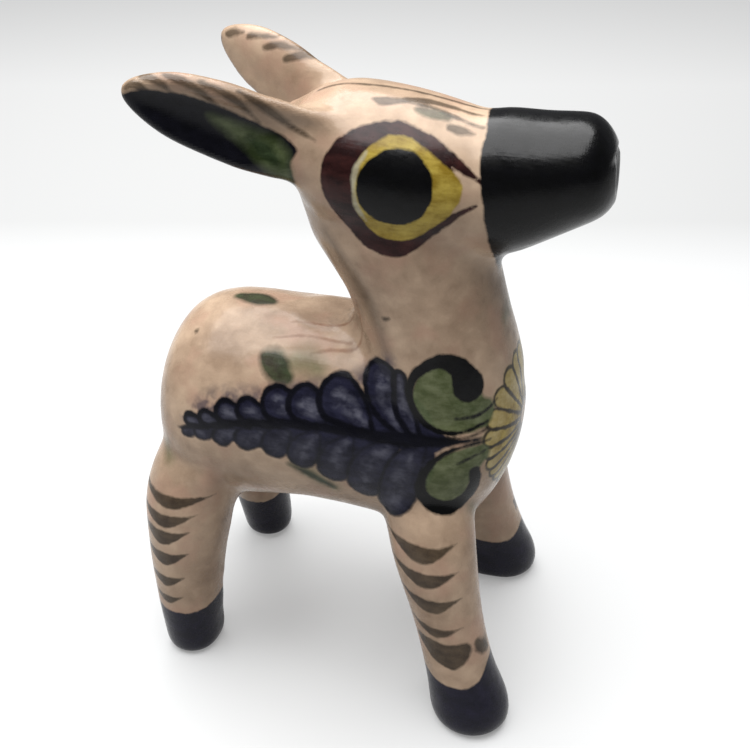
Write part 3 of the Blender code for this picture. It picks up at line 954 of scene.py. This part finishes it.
def combined(mesh, cutter, operation):
    """The mesh with the cutter intersected with it, or taken away from it."""
    body = bpy.data.objects.new("body", mesh)
    tool = bpy.data.objects.new("tool", cutter)
    for o in (body, tool):
        bpy.context.scene.collection.objects.link(o)
    modifier = body.modifiers.new("cut", "BOOLEAN")
    modifier.object = tool
    modifier.solver = "MANIFOLD"
    modifier.operation = operation
    shown = body.evaluated_get(bpy.context.evaluated_depsgraph_get())
    made = bpy.data.meshes.new_from_object(shown)
    for o in (body, tool):
        bpy.data.objects.remove(o)
    return made


def set_normals(mesh, field):
    """Smooth normals from the distance grid, the same on both sides of a joint, and flat joint faces.

    Returns the mesh's points in millimetres.
    """
    points = np.empty(len(mesh.vertices) * 3)
    mesh.vertices.foreach_get("co", points)
    points = points.reshape(-1, 3) / MM
    smooth = slopes(field, points)
    corners = np.empty(len(mesh.loops), np.int32)
    mesh.loops.foreach_get("vertex_index", corners)
    totals = np.empty(len(mesh.polygons), np.int32)
    mesh.polygons.foreach_get("loop_total", totals)
    flat = np.empty(len(mesh.polygons) * 3)
    mesh.polygons.foreach_get("normal", flat)
    flat = flat.reshape(-1, 3)
    centres = np.empty(len(mesh.polygons) * 3)
    mesh.polygons.foreach_get("center", centres)
    centres = centres.reshape(-1, 3) / MM
    joint = np.abs(sampled(field, centres)) > JOINT_DEPTH
    joint |= np.sum(slopes(field, centres) * flat, axis=1) < JOINT_TILT
    corner_normals = smooth[corners]
    from_joint = np.repeat(joint, totals)
    corner_normals[from_joint] = np.repeat(flat, totals, axis=0)[from_joint]
    mesh.polygons.foreach_set("use_smooth", np.ones(len(mesh.polygons), bool))
    mesh.normals_split_custom_set(corner_normals.tolist())
    return points


def finished(node, mesh, field):
    """Makes one glazed piece, which stands for a CAD node."""
    mesh.name = "glazed_" + node
    points = set_normals(mesh, field)
    worn = []
    for key, away in paint(points).items():
        if away.min() < WORN_WITHIN:
            worn.append(key)
            mesh.attributes.new(key, "FLOAT", "POINT").data.foreach_set("value", away.astype(np.float32))
    mesh.materials.clear()
    mesh.materials.append(painted_glaze("glaze_" + node, worn))
    piece = bpy.data.objects.new("glazed_" + node, mesh)
    bpy.context.scene.collection.objects.link(piece)
    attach(piece, "root")
    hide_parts(node)
    return piece


# Where the figure divides into its members, in this order. Each block holds one member, and the
# trunk is what is left. Centre of the joint, direction towards the member, length and two widths.
JOINTS = {
    "right_ear": ((-6, -13.5, 140.3), (-0.9, -0.38, 0.2), (60, 24, 40)),
    "left_ear": ((-6, 13.5, 138.5), (-0.9, 0.38, 0.24), (60, 24, 40)),
    "muzzle": ((29.8, 0, 132), (0.992, 0, 0.124), (60, 60, 60)),
    "head": ((8.5, 0, 122), (-0.3, 0, 0.954), (60, 60, 90)),
    "neck": ((14, 0, 90), (0.1, 0, 0.995), (80, 60, 90)),
    "front_right_hoof": ((35, -28, 12.45), (0, 0, -1), (20, 30, 40)),
    "front_left_hoof": ((35, 28, 12.45), (0, 0, -1), (20, 30, 40)),
    "rear_right_hoof": ((-40, -26, 12.45), (0, 0, -1), (20, 30, 40)),
    "rear_left_hoof": ((-40, 26, 12.45), (0, 0, -1), (20, 30, 40)),
    "front_right_leg": ((24, -18, 48), (0.12, -0.42, -0.9), (50, 34, 34)),
    "front_left_leg": ((24, 18, 48), (0.12, 0.42, -0.9), (50, 34, 34)),
    "rear_right_leg": ((-40, -17, 49), (-0.05, -0.42, -0.9), (50, 34, 34)),
    "rear_left_leg": ((-40, 17, 49), (-0.05, 0.42, -0.9), (50, 34, 34)),
    "tail": ((-51.2, 0, 62), (-1, 0, 0), (12, 9.4, 34)),
    "trunk_right_half": ((0, 0, 70), (0, -1, 0), (60, 160, 160)),
}


def make_pieces():
    """Divides the clay body at its joints and glazes each member."""
    body = clay_body()
    rest = figure_mesh(body)
    members = {}
    for node, place in JOINTS.items():
        members[node] = combined(rest, block(*place), "INTERSECT")
        rest = combined(rest, block(*place), "DIFFERENCE")
    members["trunk_left_half"] = rest
    for node, mesh in members.items():
        finished(node, mesh, body)


# ---------- stage ----------

CAMERA_PLACE = (59.45, -195.1, 206.8)
CAMERA_TOWARD = (-0.2333, 0.8135, -0.5326)
CAMERA_LENS = 46.77  # on a sensor 36 mm wide
FLOOR_SIZE = 4000
SHEET = ((0.33, 0.333, 0.333), (0.26, 0.262, 0.26))  # the pale sheet's colour near, and the same colour darkened by painted shade far
PAINTED_SHADE_SPAN = (220, 277)  # distances behind the figure between which painted shade darkens the sheet; the painted glow starts at the first
PAINTED_GLOW = (0.26, 0.46)  # glow painted into the sheet as emitted light, near and far
GLOW_REACH = 532  # distance behind the figure at which the painted glow is strongest
SOFTBOX_PLACE = (-100, 30, 720)
SOFTBOX_TARGET = (0, 0, 60)
SOFTBOX_SIZE = (900, 800)
SOFTBOX_POWER = 19
ROOM_COLOUR = (0.93, 0.95, 1, 1)
ROOM_STRENGTH = 0.14


def make_camera():
    data = bpy.data.cameras.new("camera")
    data.lens = CAMERA_LENS
    data.sensor_width = 36
    data.clip_start = 0.01
    camera = bpy.data.objects.new("camera", data)
    turn = Vector(CAMERA_TOWARD).to_track_quat("-Z", "Y")
    camera.matrix_world = Matrix.Translation(Vector(CAMERA_PLACE) * MM) @ turn.to_matrix().to_4x4()
    bpy.context.scene.collection.objects.link(camera)
    bpy.context.scene.camera = camera


def make_floor():
    """A flat pale sheet, darkened by painted shade behind the figure, with a painted glow that grows farther
    back.
    """
    mesh = bpy.data.meshes.new("floor")
    reach = FLOOR_SIZE / 2 * MM
    corners = [(-reach, -reach, 0), (reach, -reach, 0), (reach, reach, 0), (-reach, reach, 0)]
    mesh.from_pydata(corners, [], [(0, 1, 2, 3)])
    material = bpy.data.materials.new("pale_sheet")
    nodes = Nodes(material)
    behind = nodes.add("VectorMath", {"operation": "DOT_PRODUCT"})
    nodes.feed(behind.inputs[0], nodes.add("TexCoord").outputs["Object"])
    nodes.feed(behind.inputs[1], (*Vector(CAMERA_TOWARD[:2]).normalized(), 0))
    behind = behind.outputs["Value"]
    start, end = PAINTED_SHADE_SPAN
    # painted shade: the sheet's colour darkens behind the figure
    shade = nodes.spread(behind, start * MM, end * MM, 0.0, 1.0)
    # painted light: the sheet glows as if lit, though it is no lamp
    glow = nodes.spread(behind, start * MM, GLOW_REACH * MM, *PAINTED_GLOW)
    shader = nodes.add(
        "BsdfPrincipled",
        None,
        Base_Color=nodes.mixed(shade, *SHEET),
        Roughness=0.55,
        Emission_Strength=glow,
        Emission_Color=(1, 1, 1, 1),
    )
    output = nodes.add("OutputMaterial")
    nodes.tree.links.new(shader.outputs[0], output.inputs["Surface"])
    mesh.materials.append(material)
    floor = bpy.data.objects.new("floor", mesh)
    bpy.context.scene.collection.objects.link(floor)


def make_softbox():
    data = bpy.data.lights.new("softbox", "AREA")
    data.shape = "RECTANGLE"
    data.size, data.size_y = [side * MM for side in SOFTBOX_SIZE]
    data.energy = SOFTBOX_POWER
    light = bpy.data.objects.new("softbox", data)
    turn = (Vector(SOFTBOX_TARGET) - Vector(SOFTBOX_PLACE)).to_track_quat("-Z", "Y")
    light.matrix_world = Matrix.Translation(Vector(SOFTBOX_PLACE) * MM) @ turn.to_matrix().to_4x4()
    bpy.context.scene.collection.objects.link(light)


def make_room():
    """Dim, even light from all round."""
    world = bpy.data.worlds.new("studio")
    world.use_nodes = True
    background = world.node_tree.nodes["Background"]
    background.inputs["Color"].default_value = ROOM_COLOUR
    background.inputs["Strength"].default_value = ROOM_STRENGTH
    bpy.context.scene.world = world


make_camera()
make_floor()
make_softbox()
make_room()
make_pieces()
bpy.context.scene.view_settings.view_transform = "Standard"
